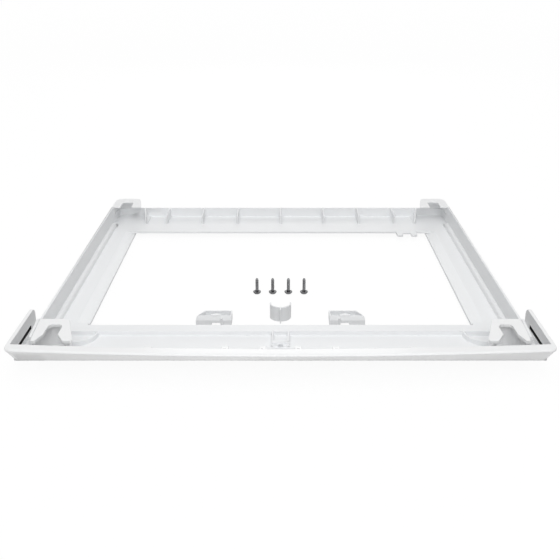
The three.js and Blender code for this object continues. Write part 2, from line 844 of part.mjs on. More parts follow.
// A lock bracket as a tray with one slanted side, a screw boss over a notch, and an upright bar beside them.
function lockBracket(side) {
  const half = bracketWidth / 2;
  const at = (x) => side * x;
  const tray = (offset, front) =>
    outline([
      [at(-half + offset), front],
      [at(half - offset), front],
      [at(half - bracketSkew - offset), bracketDepth - offset],
      [at(-half + offset), bracketDepth - offset],
    ]);
  const walls = cut(
    prism(tray(0, 0), 0, bracketHeight),
    prism(tray(bracketWall, bracketWall + bracketLean), bracketWall, bracketHeight + overrun),
  );
  const bossX = at(-bracketBossShift);
  const boss = new THREE.CylinderGeometry(bracketBossRadius, bracketBossRadius, bracketBossHeight, bracketBossSides);
  boss.rotateX(Math.PI / 2).translate(bossX, bracketBossInset, bracketBossHeight / 2);
  const pilotLength = bracketPilotHeight + overrun;
  const pilot = new THREE.CylinderGeometry(bracketPilotRadius, bracketPilotRadius, pilotLength, arcSteps * 2);
  pilot.rotateX(Math.PI / 2).translate(bossX, bracketBossInset + bracketWall, bracketPilotHeight - pilotLength / 2);
  const halfNotch = bracketNotchWidth / 2;
  const notch = box(
    bossX - halfNotch, bossX + halfNotch,
    -overrun, bracketBossInset + bracketWall,
    -overrun, bracketNotchHeight,
  );
  const barInner = bossX - side * halfNotch;
  const bar = box(
    barInner, barInner - side * bracketBarWidth,
    -bracketBarReach, bracketWall + bracketLean,
    0, bracketHeight - bracketWall,
  );
  const leanCutter = alongX(
    outline([
      [-overrun, bracketLeanHeight],
      [0, bracketLeanHeight],
      [bracketLean, bracketHeight],
      [bracketLean, bracketHeight + overrun],
      [-overrun, bracketHeight + overrun],
    ]),
    -half, half,
  );
  const frontCutter = box(-half, half, -bracketBossRadius - overrun, 0, -overrun, bracketHeight + overrun);
  const body = cut(join(walls, solidOf(boss)), leanCutter, frontCutter, solidOf(pilot), notch);
  return join(body, bar);
}

// The hose clip: a half ring with short legs and a fin on its front.
function hoseClip() {
  const u = (radius, back) => {
    const shape = new THREE.Shape();
    shape.moveTo(radius, back);
    shape.lineTo(radius, 0);
    shape.absarc(0, 0, radius, 0, -Math.PI, true);
    shape.lineTo(-radius, back);
    shape.closePath();
    return shape;
  };
  const ring = cut(
    prism(u(clipOuterRadius, clipLegLength), 0, clipHeight),
    prism(u(clipOuterRadius - clipWall, clipLegLength + overrun), -overrun, clipHeight + overrun),
  );
  const fin = box(
    -clipFinThickness / 2, clipFinThickness / 2,
    -clipOuterRadius - clipFinReach, -clipOuterRadius + clipWall / 2,
    0, clipHeight,
  );
  return join(ring, fin);
}

// A screw that stands on its domed head, with a cross cut in the head's underside.
function screw() {
  const profile = [
    [0, 0],
    [screwFaceRadius, 0],
    [screwHeadRadius, screwHeadHeight - screwHeadEdge],
    [screwHeadRadius, screwHeadHeight],
    [screwShankRadius, screwHeadHeight],
    [screwShankRadius, screwLength - screwTipLength],
    [screwTipRadius, screwLength],
    [0, screwLength],
  ].map(([radius, height]) => new THREE.Vector2(radius, height));
  const body = new THREE.LatheGeometry(profile, screwSides);
  body.rotateX(Math.PI / 2);
  const long = screwCrossLength / 2;
  const narrow = screwCrossWidth / 2;
  return cut(
    solidOf(body),
    box(-long, long, -narrow, narrow, -overrun, screwCrossDepth),
    box(-narrow, narrow, -long, long, -overrun, screwCrossDepth),
  );
}

addPiece("base_frame", baseFrame(), white());
addPiece("front_trim", frontTrim(), white());
for (const [name, side] of Object.entries(sides)) {
  addPiece(`foot_holder_${name}`, footHolder(side), white());
  addPiece(`rear_hood_${name}`, rearHood(side), white());
  addPiece(`lock_bracket_${name}`, lockBracket(side), white(), [side * bracketPlace, openingFrontY + bracketStandOff, 0]);
}
["front_left", "front_right", "rear_left", "rear_right"].forEach((name, i) => {
  addPiece(`grip_pad_${name}`, gripPad(), rubber(), [...padPlaces()[i], 0]);
});
addPiece("hose_clip", hoseClip(), white(), [0, openingFrontY + clipStandOff + clipOuterRadius, 0]);
screwPlaces.forEach((x, i) => {
  addPiece(`screw_${i + 1}`, screw(), steel(), [x, openingFrontY + screwStandOff, 0]);
});

export default kit;
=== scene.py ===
"""Looks of a stacking kit for a tumble dryer on a washing machine.

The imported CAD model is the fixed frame. Each operator dresses one piece or one group of like pieces.
All lengths are in metres, with X to the right, Y to the back and Z up from the floor.
"""
import json
import math

import bmesh
import bpy
from bpy.props import FloatProperty, FloatVectorProperty, IntProperty, PointerProperty
import numpy as np
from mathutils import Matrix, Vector
from mathutils.bvhtree import BVHTree


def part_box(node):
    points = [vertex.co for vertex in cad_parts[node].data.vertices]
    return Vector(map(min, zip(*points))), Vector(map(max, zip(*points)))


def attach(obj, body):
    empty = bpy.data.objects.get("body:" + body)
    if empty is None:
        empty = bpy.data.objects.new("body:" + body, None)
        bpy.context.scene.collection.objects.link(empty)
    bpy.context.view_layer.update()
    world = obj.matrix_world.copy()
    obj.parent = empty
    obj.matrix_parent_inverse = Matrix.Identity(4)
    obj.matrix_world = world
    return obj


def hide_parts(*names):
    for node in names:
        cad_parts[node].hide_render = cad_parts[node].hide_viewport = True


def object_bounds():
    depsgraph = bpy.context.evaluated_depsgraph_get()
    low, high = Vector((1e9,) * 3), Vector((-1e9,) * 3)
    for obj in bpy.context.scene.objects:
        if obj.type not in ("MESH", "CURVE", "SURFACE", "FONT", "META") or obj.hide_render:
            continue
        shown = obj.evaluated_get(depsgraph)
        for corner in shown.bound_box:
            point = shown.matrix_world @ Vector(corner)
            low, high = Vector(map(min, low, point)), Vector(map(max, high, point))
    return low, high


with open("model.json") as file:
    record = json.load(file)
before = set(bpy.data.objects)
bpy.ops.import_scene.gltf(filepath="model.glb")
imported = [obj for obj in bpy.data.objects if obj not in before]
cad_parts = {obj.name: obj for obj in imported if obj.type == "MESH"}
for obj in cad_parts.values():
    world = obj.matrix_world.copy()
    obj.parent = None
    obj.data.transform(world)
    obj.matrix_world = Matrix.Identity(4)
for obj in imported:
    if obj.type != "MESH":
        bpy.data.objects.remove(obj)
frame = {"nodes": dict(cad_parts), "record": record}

bl_info = {
    "name": "Washer dryer stacking kit",
    "version": (1, 0, 0),
    "blender": (4, 5, 0),
    "location": "View3D > Sidebar > Stacking kit",
    "description": "Dresses the stacking kit's pieces and sets up its studio",
    "category": "Object",
}

MILLIMETRE = 0.001

# Corners nearer than this are one, faces that bend less are joined, edges that bend more show sharp, and
# large faces set the shading this much
MERGE_DISTANCE = 0.005 * MILLIMETRE
FLAT_ANGLE = math.radians(0.3)
SHARP_ANGLE = math.radians(40.0)
FACE_WEIGHT = 80

# Edges are rounded where they bend by this many degrees, and tight ones again by a share of the radius
LEAST_BEND = 14.0
LEAST_TIGHT_BEND = 50.0
TIGHT_SHARE = 0.35
EDGE_SEGMENTS = 3
TIGHT_SEGMENTS = 1
HEAD_SEGMENTS = 2

# A rounded edge is torn where a face turns over or strays by a share of the radius from the old surface,
# and the edges that pass nearer than another share stay sharp
TORN_COSINE = -0.05
TORN_AREA = 1e-10
STRAY_SHARE = 0.5
NEAR_SHARE = 1.05

# Steps of a rounded corner and of an arc in the outlines
ROUNDING_STEPS = 6
ARC_STEPS = 24

# Patterns of moulded plastic: their scales for each metre, and how far the gloss and the tint vary
GRAIN_SCALE = 1800.0
FLOW_SCALE = 28.0
CLOUD_SCALE = 9.0
GLOSS_SPREAD = 0.16
TINT_SPREAD = 0.02
PLASTIC_SPECULAR = 0.45

# Patterns of the screws' plating: their scales for each metre, and how far gloss and tint vary
PLATING_SCALE = 900.0
PLATING_STRETCH = (1.0, 1.0, 0.12)
PATCH_SCALE = 420.0
PIT_SCALE = 2600.0
PIT_DEPTH = 0.02 * MILLIMETRE
PLATING_GLOSS_SPREAD = 0.3
STREAK_SPREAD = 1.6
PATCH_SPREAD = 0.5

SIDES = {"left": -1, "right": 1}
SCREW_COUNT = 4

# The studio's floor and the camera's film and lens
FLOOR_REACH = 6.0
FLOOR_ROUGHNESS = 0.9
FLOOR_SPECULAR = 0.1
FLOOR_GRAIN_SCALE = 300.0
FLOOR_GRAIN_DEPTH = 0.02 * MILLIMETRE
SENSOR_WIDTH = 36.0
PICTURE_WIDTH = 560
NEAREST_SEEN = 10.0 * MILLIMETRE

cad_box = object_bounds()
TOP = cad_box[1].z
finishes = {entry["slot"]: entry["base_color"] for entry in frame["record"]["materials"]}


# Settings
def colour_setting(name, description, colour):
    return FloatVectorProperty(
        name=name, description=description, default=(*colour, 1.0), size=4,
        min=0.0, max=1.0, subtype="COLOR",
    )


def length_setting(name, description, millimetres):
    return FloatProperty(
        name=name, description=description, default=millimetres * MILLIMETRE,
        min=0.0, precision=6, unit="LENGTH", subtype="DISTANCE",
    )


def power_setting(name, description, watts):
    return FloatProperty(name=name, description=description, default=watts, min=0.0, unit="POWER")


def width_setting(name, description, metres):
    return FloatProperty(name=name, description=description, default=metres, min=0.1, unit="LENGTH")


def place_setting(name, description, place):
    return FloatVectorProperty(
        name=name, description=description, default=place, size=3, unit="LENGTH", subtype="TRANSLATION",
    )


def share_setting(name, description, default):
    return FloatProperty(
        name=name, description=description, default=default, min=0.0, max=1.0, subtype="FACTOR",
    )


class PlasticSettings(bpy.types.PropertyGroup):
    frame_colour: colour_setting("Frame colour", "Colour of the base frame", finishes["frame_plastic"])
    trim_colour: colour_setting("Trim colour", "Colour of the front trim", finishes["trim_plastic"])
    holder_colour: colour_setting("Holder colour", "Colour of holders and hoods", finishes["holder_plastic"])
    loose_colour: colour_setting("Loose colour", "Colour of the brackets and clip", finishes["loose_plastic"])
    # Painted shade: the near-black colour painted into the trim's slits, where shadow falls
    painted_gap_shade: colour_setting("Gap colour", "Shade in the trim's narrow gaps", (0.02, 0.02, 0.022))
    edge_radius: length_setting("Edge radius", "Rounding of the frame's and trim's edges", 0.7)
    holder_edge_radius: length_setting("Holder edge radius", "Rounding of holders and hoods", 1.1)
    loose_edge_radius: length_setting("Loose edge radius", "Rounding of brackets and clip", 0.42)
    frame_grain: length_setting("Frame grain", "Depth of the frame's grain", 0.02)
    frame_waves: length_setting("Frame waves", "Depth of the frame's flow waves", 0.08)
    trim_grain: length_setting("Trim grain", "Depth of the trim's grain", 0.006)
    trim_waves: length_setting("Trim waves", "Depth of the trim's flow waves", 0.05)
    holder_grain: length_setting("Holder grain", "Depth of the holders' grain", 0.01)
    holder_waves: length_setting("Holder waves", "Depth of the holders' flow waves", 0.06)
    loose_grain: length_setting("Loose grain", "Depth of the loose parts' grain", 0.01)
    loose_waves: length_setting("Loose waves", "Depth of the loose parts' flow waves", 0.04)
    roughness: share_setting("Roughness", "Roughness of the satin plastic", 0.42)
    trim_roughness: share_setting("Trim roughness", "Roughness of the trim's plastic", 0.32)
    trim_coat: share_setting("Trim coat", "Strength of the trim's polished skin", 0.5)
    coat_roughness: share_setting("Coat roughness", "Roughness of the trim's polished skin", 0.16)


class FormSettings(bpy.types.PropertyGroup):
    """Sizes of the forms that the CAD solids lack or have in a plainer shape."""

    half_width: length_setting("Half width", "From the middle to the frame's outer side", 278.5)
    front: length_setting("Front", "From the middle to the frame's front wall", 246.0)
    rear: length_setting("Rear", "From the middle to the frame's rear face", 290.0)
    wall: length_setting("Wall", "Thickness of the frame's walls", 2.5)
    gap: length_setting("Gap", "Gap between seated pieces", 0.3)
    overrun: length_setting("Overrun", "How far a cutter passes what it cuts", 5.0)
    front_floor: length_setting("Front floor", "Height of the front tray's floor", 5.0)
    front_rise: length_setting("Front rise", "How much the floor rises to the front wall", 9.5)
    front_rise_depth: length_setting("Front rise depth", "How far back the floor rises", 18.5)
    front_tray_depth: length_setting("Front tray depth", "From the front wall to the step", 75.0)
    ledge: length_setting("Ledge", "Height of the front ledge", 11.0)
    rib_thickness: length_setting("Rib thickness", "Thickness of the front tray's end ribs", 2.0)
    bay_width: length_setting("Bay width", "From the outer side to the tray's end rib", 59.5)
    bay_rib_radius: length_setting("Bay rib radius", "Radius of the end rib's bend", 27.0)
    bay_rib_set_forward: length_setting("Bay rib set forward", "From the tray's step to the bend", 3.0)
    mark_place: length_setting("Mark place", "From the middle to a rear mark", 100.0)
    mark_height: length_setting("Mark height", "Height of the rear wall's marks", 17.0)
    mark_depth: length_setting("Mark depth", "Depth of the rear wall's marks", 1.2)
    plug_radius: length_setting("Plug radius", "Radius of the plug in a screw hole", 3.2)
    tongue_bottom: length_setting("Tongue bottom", "Height of the side tongue's lower edge", 13.0)
    tongue_thickness: length_setting("Tongue thickness", "Thickness of the side tongue", 3.4)
    holder_reach: length_setting("Holder reach", "From the front wall to the holder's rear edge", 48.3)
    holder_length: length_setting("Holder length", "Length of the foot holder", 57.7)
    holder_plate: length_setting("Holder plate", "Thickness of the foot holder's plate", 4.05)
    plate_overlap: length_setting("Plate overlap", "How far the plate sinks into its cup", 0.1)
    holder_inset: length_setting("Holder inset", "How far in the plate's outer front corner is", 4.2)
    holder_rear_width: length_setting("Holder rear width", "Reach of the plate's rear edge", 34.0)
    holder_front_width: length_setting("Holder front width", "Reach of the plate's front edge", 51.0)
    holder_corner: length_setting("Holder corner", "Rounding of the plate's rear inner corner", 9.0)
    slot_inset: length_setting("Slot inset", "From the outer side to the foot slot's middle", 22.3)
    slot_half_width: length_setting("Slot half width", "Half the foot slot's width", 8.0)
    slot_rear_wall: length_setting("Slot rear wall", "Plate left behind the foot slot", 15.0)
    slot_end_radius: length_setting("Slot end radius", "Rounding of the foot slot's end", 7.8)
    slot_flare_depth: length_setting("Slot flare depth", "How far back the foot slot flares", 17.0)
    slot_flare_outer: length_setting("Slot flare outer", "Flare of the foot slot's outer side", 5.0)
    slot_flare_inner: length_setting("Slot flare inner", "Flare of the foot slot's inner side", 9.0)
    ear_wall: length_setting("Ear wall", "Thickness of the trim's ears", 4.3)
    slit_depth: length_setting("Slit depth", "Depth of the gap along the inside of an ear", 3.4)
    slit_length: length_setting("Slit length", "How far back the gap runs from the front wall", 60.0)
    slit_bottom: length_setting("Slit bottom", "Height of the gap's lower edge", 21.5)
    slit_margin: length_setting("Slit margin", "How far inside the gap its shade starts", 0.25)
    slit_height: length_setting("Slit height", "Height of the gap", 4.5)
    bracket_place: length_setting("Bracket place", "From the middle to a bracket's middle", 83.6)
    bracket_front: length_setting("Bracket front", "From the middle to a bracket's front face", 130.0)
    bracket_boss_shift: length_setting("Bracket boss shift", "From a bracket's middle to its boss", 3.0)
    bracket_notch_width: length_setting("Bracket notch width", "Width of the notch under the boss", 10.9)
    bracket_notch_height: length_setting("Bracket notch height", "Height of the notch", 2.6)
    bracket_notch_depth: length_setting("Bracket notch depth", "Depth of the notch", 8.0)
    hood_depth: length_setting("Hood depth", "From the rear face to the hood's front edge", 47.0)
    hood_bottom: length_setting("Hood bottom", "Height of the hood's lower edge", 24.3)
    hood_plate: length_setting("Hood plate", "Thickness of the hood's top", 3.0)
    hood_width: length_setting("Hood width", "Width of the hood's front edge", 48.0)
    hood_rear_width: length_setting("Hood rear width", "Width of the hood's rear edge", 40.0)
    hood_corner: length_setting("Hood corner", "Rounding of the hood's rear inner corner", 12.0)
    hood_outer_corner: length_setting("Hood outer corner", "Rounding of the hood's rear outer corner", 14.0)
    hood_slot_inset: length_setting("Hood slot inset", "From the outer side to the hood slot's middle", 22.5)
    hood_slot_half_width: length_setting("Hood slot half width", "Half the hood slot's width", 9.0)
    hood_slot_depth: length_setting("Hood slot depth", "Length of the hood slot", 29.0)


class RubberSettings(bpy.types.PropertyGroup):
    colour: colour_setting("Rubber colour", "Colour of the grip pads", finishes["pad_rubber"])
    edge_radius: length_setting("Edge radius", "Rounding of the pads' edges", 0.5)
    grain: length_setting("Grain", "Depth of the rubber's grain", 0.04)
    roughness: share_setting("Roughness", "Roughness of the rubber", 0.42)


class ScrewSettings(bpy.types.PropertyGroup):
    colour: colour_setting("Steel colour", "Colour of the plated screws", finishes["screw_steel"])
    roughness: share_setting("Roughness", "Roughness of the plated steel", 0.3)
    depth: share_setting("Depth", "How much the plating darkens the steel", 0.3)
    # Painted reflection: the steel is darkened where it is seen edge-on, standing in for dark surroundings
    # mirrored in the plating
    painted_edge_shade: share_setting("Edge depth", "How much more it darkens seen edge-on", 0.68)
    painted_edge_blend: share_setting("Edge blend", "How far the edge-on darkening reaches in", 0.35)
    edge_radius: length_setting("Edge radius", "Rounding of the head's edges", 0.2)
    head_height: length_setting("Head height", "Where the head ends and the shank starts", 3.3)
    neck_length: length_setting("Neck length", "Length of the plain cone above the head", 2.2)
    core_radius: length_setting("Core radius", "Radius of the shank between the threads", 1.9)
    crest_radius: length_setting("Crest radius", "Radius over the thread's crests", 2.3)
    tip_length: length_setting("Tip length", "Length of the tapered tip", 2.4)
    tip_radius: length_setting("Tip radius", "Radius of the tip's blunt end", 1.1)
    thread_pitch: length_setting("Thread pitch", "Rise of the thread for each turn", 1.8)
    thread_foot: length_setting("Thread foot", "Height of the thread at the core", 0.9)
    thread_fade: length_setting("Thread fade", "Length over which the thread grows", 1.2)
    sides: IntProperty(name="Sides", description="Steps in one turn of the screw", default=32, min=12, max=96)


class StudioSettings(bpy.types.PropertyGroup):
    camera_place: place_setting("Camera place", "Where the camera stands", (0.0, -1.0666, 0.441))
    camera_pitch: FloatProperty(
        name="Camera pitch", description="How far the camera looks down", default=math.radians(22.1),
        unit="ROTATION", subtype="ANGLE",
    )
    focal_length: FloatProperty(
        name="Focal length", description="Lens for a 36 mm sensor", default=53.04, min=1.0, unit="CAMERA",
    )
    sky_level: share_setting("Sky level", "Strength of the white surroundings", 0.35)
    overhead_power: power_setting("Overhead power", "Power of the wide lamp above the kit", 10.5)
    overhead_place: place_setting("Overhead place", "Where the overhead lamp hangs", (-0.05, -0.35, 1.5))
    overhead_width: width_setting("Overhead width", "Side of the overhead lamp", 1.6)
    key_power: power_setting("Key power", "Power of the soft lamp high in front", 16.0)
    key_place: place_setting("Key place", "Where the key lamp hangs", (0.1, -1.9, 1.45))
    key_width: width_setting("Key width", "Side of the key lamp", 1.4)
    sheen_power: power_setting("Sheen power", "Power of the low lamp behind the kit", 3.5)
    sheen_place: place_setting("Sheen place", "Where the sheen lamp stands", (0.0, 2.0, 0.95))
    sheen_width: width_setting("Sheen width", "Side of the sheen lamp", 1.0)
    floor_glow: share_setting("Floor glow", "How much of the floor's white is its own", 0.94)
    floor_bounce: share_setting("Floor bounce", "How white the floor is to the lamps", 0.62)


# Materials
def new_finish_group(name, amounts):
    """A shader node group that turns a colour, a roughness and some amounts into a finish."""
    group = bpy.data.node_groups.new(name, "ShaderNodeTree")
    taken = [("Colour", "Color"), ("Roughness", "Float"), *((amount, "Float") for amount in amounts)]
    given = [("Colour", "Color"), ("Roughness", "Float"), ("Height", "Float")]
    for way, sockets in (("INPUT", taken), ("OUTPUT", given)):
        for socket, kind in sockets:
            group.interface.new_socket(name=socket, in_out=way, socket_type=f"NodeSocket{kind}")
    return group, group.nodes.new("NodeGroupInput"), group.nodes.new("NodeGroupOutput")


def math_node(tree, operation, first, second=None):
    """A Math node fed by sockets or plain numbers."""
    node = tree.nodes.new("ShaderNodeMath")
    node.operation = operation
    for socket, value in zip(node.inputs, (first, second)):
        if isinstance(value, (int, float)):
            socket.default_value = value
        elif value is not None:
            tree.links.new(value, socket)
    return node.outputs["Value"]


def object_place(tree):
    """Where a point lies on its piece."""
    return tree.nodes.new("ShaderNodeTexCoord").outputs["Object"]


def noise_node(tree, vector, scale, detail):
    node = tree.nodes.new("ShaderNodeTexNoise")
    node.inputs["Scale"].default_value = scale
    node.inputs["Detail"].default_value = detail
    tree.links.new(vector, node.inputs["Vector"])
    return node.outputs["Fac"]


def seen_ray(tree):
    """One for rays from the camera, also in a reflection or through glass, and zero for light."""
    path = tree.nodes.new("ShaderNodeLightPath")
    mirrored = math_node(tree, "MAXIMUM", path.outputs["Is Camera Ray"], path.outputs["Is Glossy Ray"])
    return math_node(tree, "MAXIMUM", mirrored, path.outputs["Is Transmission Ray"])


def mix_colours(tree, factor, first, second):
    """A colour between two others, of which the first may be a socket."""
    node = tree.nodes.new("ShaderNodeMix")
    node.data_type = "RGBA"
    tree.links.new(factor, node.inputs["Factor"])
    if isinstance(first, tuple):
        node.inputs["A"].default_value = first
    else:
        tree.links.new(first, node.inputs["A"])
    node.inputs["B"].default_value = second
    return node.outputs["Result"]


def around_zero(tree, noise, spread):
    """Noise that varies as far below zero as above it."""
    return math_node(tree, "MULTIPLY", math_node(tree, "SUBTRACT", noise, 0.5), spread)


def feed_outputs(group, inside, outside, roughness_shift, value, height):
    """Passes a finish group's roughness on, shifted, its colour, lightened by a value, and its height."""
    tint = group.nodes.new("ShaderNodeHueSaturation")
    group.links.new(value, tint.inputs["Value"])
    group.links.new(inside.outputs["Colour"], tint.inputs["Color"])
    rough = math_node(group, "ADD", roughness_shift, inside.outputs["Roughness"])
    for name, result in (("Colour", tint.outputs["Color"]), ("Roughness", rough), ("Height", height)):
        group.links.new(result, outside.inputs[name])


def mould_finish_group():
    """Fine spark-eroded grain, faint flow waves and slightly uneven gloss of moulded plastic."""
    group, inside, outside = new_finish_group("Mould finish", ["Grain", "Waves"])
    place = object_place(group)
    clouds = noise_node(group, place, CLOUD_SCALE, detail=3.0)
    grain = noise_node(group, place, GRAIN_SCALE, detail=3.0)
    waves = noise_node(group, place, FLOW_SCALE, detail=1.0)
    fine = math_node(group, "MULTIPLY", grain, inside.outputs["Grain"])
    slow = math_node(group, "MULTIPLY", waves, inside.outputs["Waves"])
    value = math_node(group, "ADD", around_zero(group, clouds, TINT_SPREAD), 1.0)
    height = math_node(group, "ADD", fine, slow)
    feed_outputs(group, inside, outside, around_zero(group, clouds, GLOSS_SPREAD), value, height)
    return group


def plated_finish_group():
    """Cloudy colour, streaks along the screw and fine pits of dark zinc plating. Its depth darkens the
    colour: the plating's own darkness, and for the steel also a painted reflection where the screw is seen
    edge-on.
    """
    group, inside, outside = new_finish_group("Plated finish", ["Depth"])
    place = object_place(group)
    stretch = group.nodes.new("ShaderNodeMapping")
    stretch.inputs["Scale"].default_value = PLATING_STRETCH
    group.links.new(place, stretch.inputs["Vector"])
    streaks = noise_node(group, stretch.outputs["Vector"], PLATING_SCALE, detail=2.0)
    patches = noise_node(group, place, PATCH_SCALE, detail=4.0)
    pits = noise_node(group, place, PIT_SCALE, detail=2.0)
    drawn = around_zero(group, streaks, STREAK_SPREAD)
    cloudy = around_zero(group, patches, PATCH_SPREAD)
    light = math_node(group, "ADD", math_node(group, "ADD", drawn, cloudy), 1.0)
    dark = math_node(group, "SUBTRACT", 1.0, inside.outputs["Depth"])
    value = math_node(group, "MULTIPLY", light, dark)
    height = math_node(group, "MULTIPLY", pits, PIT_DEPTH)
    feed_outputs(group, inside, outside, around_zero(group, patches, PLATING_GLOSS_SPREAD), value, height)
    return group


def principled_material(name):
    material = bpy.data.materials.new(name)
    material.use_nodes = True
    return material, material.node_tree, material.node_tree.nodes["Principled BSDF"]


def place_finish(tree, shader, group):
    """Feeds a shader's colour, roughness and normal from a finish group, whose heights are in metres."""
    finish = tree.nodes.new("ShaderNodeGroup")
    finish.node_tree = group
    bump = tree.nodes.new("ShaderNodeBump")
    bump.inputs["Distance"].default_value = 1.0
    tree.links.new(finish.outputs["Colour"], shader.inputs["Base Color"])
    tree.links.new(finish.outputs["Roughness"], shader.inputs["Roughness"])
    tree.links.new(finish.outputs["Height"], bump.inputs["Height"])
    tree.links.new(bump.outputs["Normal"], shader.inputs["Normal"])
    return finish


def moulded_material(name, colour, roughness, grain, waves):
    material, tree, shader = principled_material(name)
    group = bpy.data.node_groups.get("Mould finish") or mould_finish_group()
    finish = place_finish(tree, shader, group)
    finish.inputs["Colour"].default_value = colour
    finish.inputs["Roughness"].default_value = roughness
    finish.inputs["Grain"].default_value = grain
    finish.inputs["Waves"].default_value = waves
    shader.inputs["Specular IOR Level"].default_value = PLASTIC_SPECULAR
    return material


def plastic_material(kind, roughness):
    """The plastic of the frame, the trim, the holders or the loose pieces."""
    settings = bpy.context.scene.kit_plastic
    colour, grain, waves = (getattr(settings, f"{kind}_{part}") for part in ("colour", "grain", "waves"))
    return moulded_material(f"{kind.capitalize()} plastic", colour, roughness, grain, waves)


def polish(material, settings):
    """Gives the trim's plastic a smooth clear skin."""
    shader = material.node_tree.nodes["Principled BSDF"]
    shader.inputs["Coat Weight"].default_value = settings.trim_coat
    shader.inputs["Coat Roughness"].default_value = settings.coat_roughness


def grey(level):
    return (level, level, level, 1.0)


def between(tree, value, low, high):
    """One where a value lies between two limits, zero elsewhere."""
    above = math_node(tree, "GREATER_THAN", value, low)
    return math_node(tree, "MULTIPLY", above, math_node(tree, "LESS_THAN", value, high))


def shade_slits(material):
    """Paints shade into the narrow gaps along the ears, which no light reaches: a near-black colour is masked
    into the slits.
    """
    forms = bpy.context.scene.kit_forms
    tree = material.node_tree
    shader = tree.nodes["Principled BSDF"]
    place = tree.nodes.new("ShaderNodeSeparateXYZ")
    tree.links.new(object_place(tree), place.inputs["Vector"])
    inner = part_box("front_trim")[1].x - forms.ear_wall
    margin = forms.slit_margin
    across = math_node(tree, "ABSOLUTE", place.outputs["X"])
    inside = between(tree, across, inner + margin, inner + forms.slit_depth + margin)
    low = forms.slit_bottom - margin
    level = between(tree, place.outputs["Z"], low, low + forms.slit_height + margin * 2)
    start = -forms.front - margin
    along = between(tree, place.outputs["Y"], start, start + forms.slit_length + margin * 2)
    # Mask of the painted shade: inside the slits along both ears
    mask = math_node(tree, "MULTIPLY", inside, math_node(tree, "MULTIPLY", level, along))
    finish_colour = shader.inputs["Base Color"].links[0].from_socket
    shaded = mix_colours(tree, mask, finish_colour, bpy.context.scene.kit_plastic.painted_gap_shade)
    tree.links.new(shaded, shader.inputs["Base Color"])


def steel_material():
    settings = bpy.context.scene.kit_screws
    material, tree, shader = principled_material("Dark zinc-plated steel")
    group = bpy.data.node_groups.get("Plated finish") or plated_finish_group()
    finish = place_finish(tree, shader, group)
    finish.inputs["Colour"].default_value = settings.colour
    finish.inputs["Roughness"].default_value = settings.roughness
    # Painted reflection: darker where the screw is seen edge-on, added to the plating's own darkness
    edge = tree.nodes.new("ShaderNodeLayerWeight")
    edge.inputs["Blend"].default_value = settings.painted_edge_blend
    depth = math_node(tree, "MULTIPLY", edge.outputs["Facing"], settings.painted_edge_shade)
    tree.links.new(math_node(tree, "ADD", depth, settings.depth), finish.inputs["Depth"])
    shader.inputs["Metallic"].default_value = 1.0
    return material


# Making pieces
def finish_piece(piece, node, body, material):
    """A finished piece takes its CAD node's place and a body's motion."""
    piece.data.materials.append(material)
    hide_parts(node)
    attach(piece, body)


def weighted_normals(piece):
    modifier = piece.modifiers.new("Even shading", "WEIGHTED_NORMAL")
    modifier.keep_sharp = True
    modifier.weight = FACE_WEIGHT


def sharp_edges(mesh, degrees):
    """Numbers of the edges where two faces meet at more than this angle."""
    limit = math.radians(degrees)
    folds = [edge for edge in mesh.edges if len(edge.link_faces) == 2]
    return {edge.index for edge in folds if edge.calc_face_angle() > limit}


def clean_copy(node_name):
    """A bmesh of a CAD node with its loose triangles merged."""
    mesh = bmesh.new()
    mesh.from_mesh(frame["nodes"][node_name].data)
    bmesh.ops.remove_doubles(mesh, verts=mesh.verts, dist=MERGE_DISTANCE)
    return mesh


def join_flat_faces(mesh):
    bmesh.ops.dissolve_limit(
        mesh, angle_limit=FLAT_ANGLE, use_dissolve_boundaries=False, verts=mesh.verts, edges=mesh.edges,
    )
    mesh.edges.ensure_lookup_table()
    mesh.edges.index_update()


def torn_spots(trial, surface, radius):
    """Corners of the trial's faces that turned over, or that stray from the original surface."""
    spots = []
    for face in trial.faces:
        middle = face.calc_center_median()
        _, normal, _, distance = surface.find_nearest(middle)
        turned_over = face.normal.dot(normal) < TORN_COSINE and face.calc_area() > TORN_AREA
        if turned_over or distance > radius * STRAY_SHARE:
            spots.append(middle)
            spots.extend(corner.co.copy() for corner in face.verts)
    return spots


def edges_near(mesh, chosen, spots, radius):
    """Those of the chosen edges that pass within the radius of a torn spot, or else the nearest one."""
    numbers = np.array(sorted(chosen))
    starts = np.array([mesh.edges[i].verts[0].co for i in numbers])
    runs = np.array([mesh.edges[i].verts[1].co for i in numbers]) - starts
    squares = (runs ** 2).sum(axis=1)
    found = set()
    for spot in np.array(spots):
        along = np.clip(((spot - starts) * runs).sum(axis=1) / squares, 0.0, 1.0)
        distances = np.linalg.norm(starts + runs * along[:, None] - spot, axis=1)
        near = numbers[distances < radius * NEAR_SHARE]
        found.update(near.tolist() or [int(numbers[distances.argmin()])])
    return found


def round_edges(mesh, radius, bend_degrees, segments):
    """The mesh with its sharp edges rounded, but for those that have no room for the radius."""
    surface = BVHTree.FromBMesh(mesh)
    join_flat_faces(mesh)
    chosen = sharp_edges(mesh, bend_degrees)
    while True:
        trial = mesh.copy()
        trial.edges.ensure_lookup_table()
        bmesh.ops.bevel(
            trial, geom=[trial.edges[i] for i in sorted(chosen)], offset=radius, offset_type="OFFSET",
            segments=segments, profile=0.5, affect="EDGES", clamp_overlap=False, material=-1,
        )
        bmesh.ops.triangulate(trial, faces=trial.faces)
        spots = torn_spots(trial, surface, radius)
        if not spots or not chosen:
            mesh.free()
            return trial
        chosen -= edges_near(mesh, chosen, spots, radius)
        trial.free()


def object_from(mesh, name):
    data = bpy.data.meshes.new(name)
    mesh.to_mesh(data)
    mesh.free()
    data.polygons.foreach_set("use_smooth", [True] * len(data.polygons))
    data.set_sharp_from_angle(angle=SHARP_ANGLE)
    piece = bpy.data.objects.new(name, data)
    bpy.context.scene.collection.objects.link(piece)
    return piece


